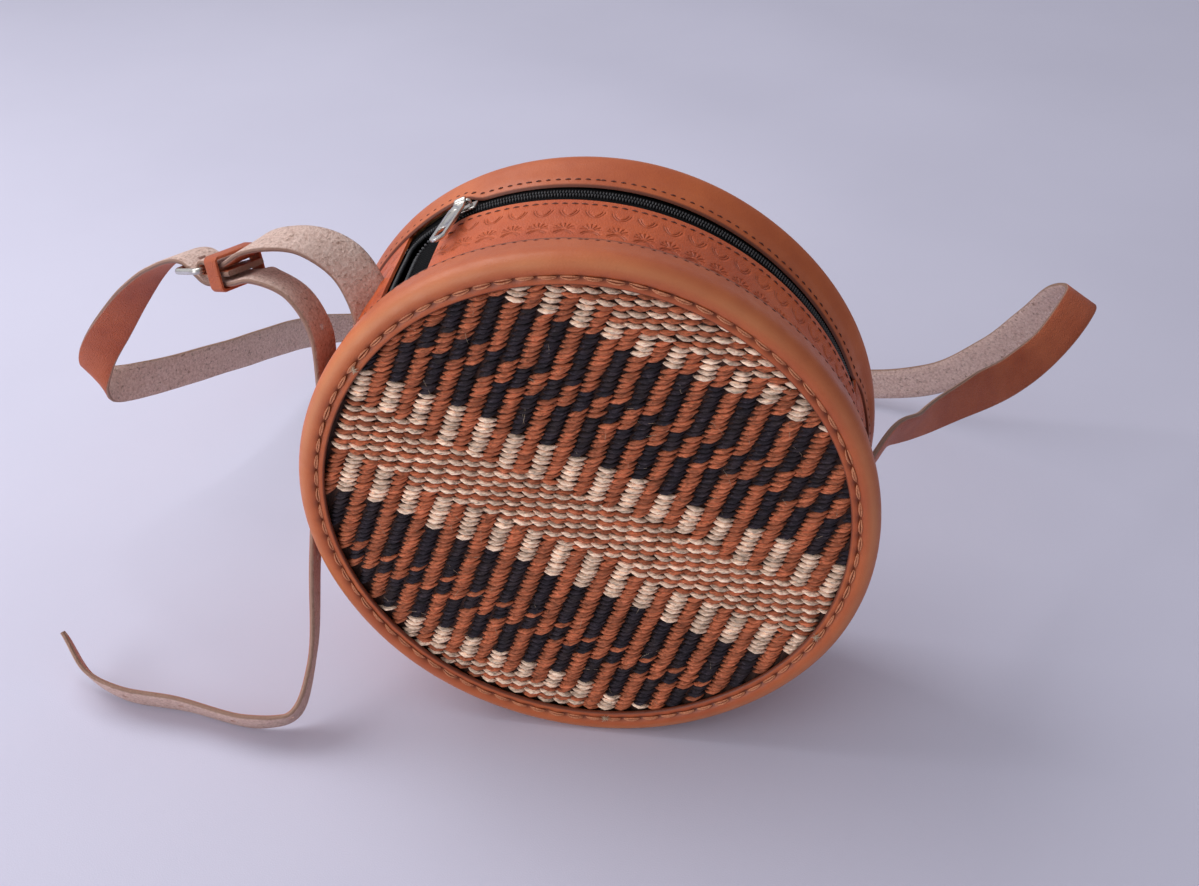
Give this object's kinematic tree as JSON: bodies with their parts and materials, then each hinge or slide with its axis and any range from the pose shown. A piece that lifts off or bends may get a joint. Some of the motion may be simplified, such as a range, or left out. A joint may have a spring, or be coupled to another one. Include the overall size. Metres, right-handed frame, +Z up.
{
  "type": "round woven shoulder bag",
  "caption": "Round shoulder bag of woven sisal discs in rolled leather rims, with a zipped leather side band, a sliding zip pull and a buckled leather strap.",
  "frame": {"origin": "on the ground under the middle of the bag's body, strap left out", "axes": "+X to the bag's right seen from the front, +Y from the front disc to the back disc, +Z up"},
  "size_m": [0.4982, 0.3506, 0.239],
  "materials": {
    "woven_sisal": "coarse weave",
    "rim_leather": "smooth",
    "band_leather": "smooth, stamped",
    "strap_leather": "smooth outside, suede inside",
    "rim_cane": "plain",
    "lining_cloth": "woven",
    "zip_tape": "woven",
    "zip_coil": "satin",
    "nickel": "polished"
  },
  "bodies": {
    "bag": {"front_woven_panel": "woven_sisal", "back_woven_panel": "woven_sisal", "front_rim_binding": "rim_leather", "back_rim_binding": "rim_leather", "front_rim_core": "rim_cane", "back_rim_core": "rim_cane", "lower_gusset_band": "band_leather", "front_zip_band": "band_leather", "back_zip_band": "band_leather", "front_zip_tape": "zip_tape", "back_zip_tape": "zip_tape", "front_zip_teeth": "zip_coil", "back_zip_teeth": "zip_coil", "zip_end_stop": "nickel", "front_lining": "lining_cloth", "back_lining": "lining_cloth", "gusset_lining": "lining_cloth", "buckle_strap": "strap_leather", "shoulder_strap": "strap_leather", "strap_keeper": "strap_leather"},
    "slider": {"zip_slider": "nickel"},
    "pull": {"zip_pull": "nickel"},
    "buckle": {"buckle_frame": "nickel"},
    "prong": {"buckle_prong": "nickel"}
  },
  "joints": [
    {"name": "zip_run", "type": "hinge", "parent": "bag", "child": "slider", "pos_m": [-0.00417, 0.02003, 0.1168], "axis": [0.0114, 0.9999, 0], "range_deg": [-3, 91]},
    {"name": "pull_swing", "type": "hinge", "parent": "slider", "child": "pull", "pos_m": [-0.0593, 0.02066, 0.22406], "axis": [-0.8894, 0.0101, -0.4571], "range_deg": [0, 150]},
    {"name": "buckle_tilt", "type": "hinge", "parent": "bag", "child": "buckle", "pos_m": [-0.1654, 0.0136, 0.19], "axis": [-0.4859, -0.8708, 0.075], "range_deg": [0, 15]},
    {"name": "prong_lift", "type": "hinge", "parent": "buckle", "child": "prong", "pos_m": [-0.1654, 0.0136, 0.19], "axis": [-0.4859, -0.8708, 0.075], "range_deg": [0, 30]}
  ]
}
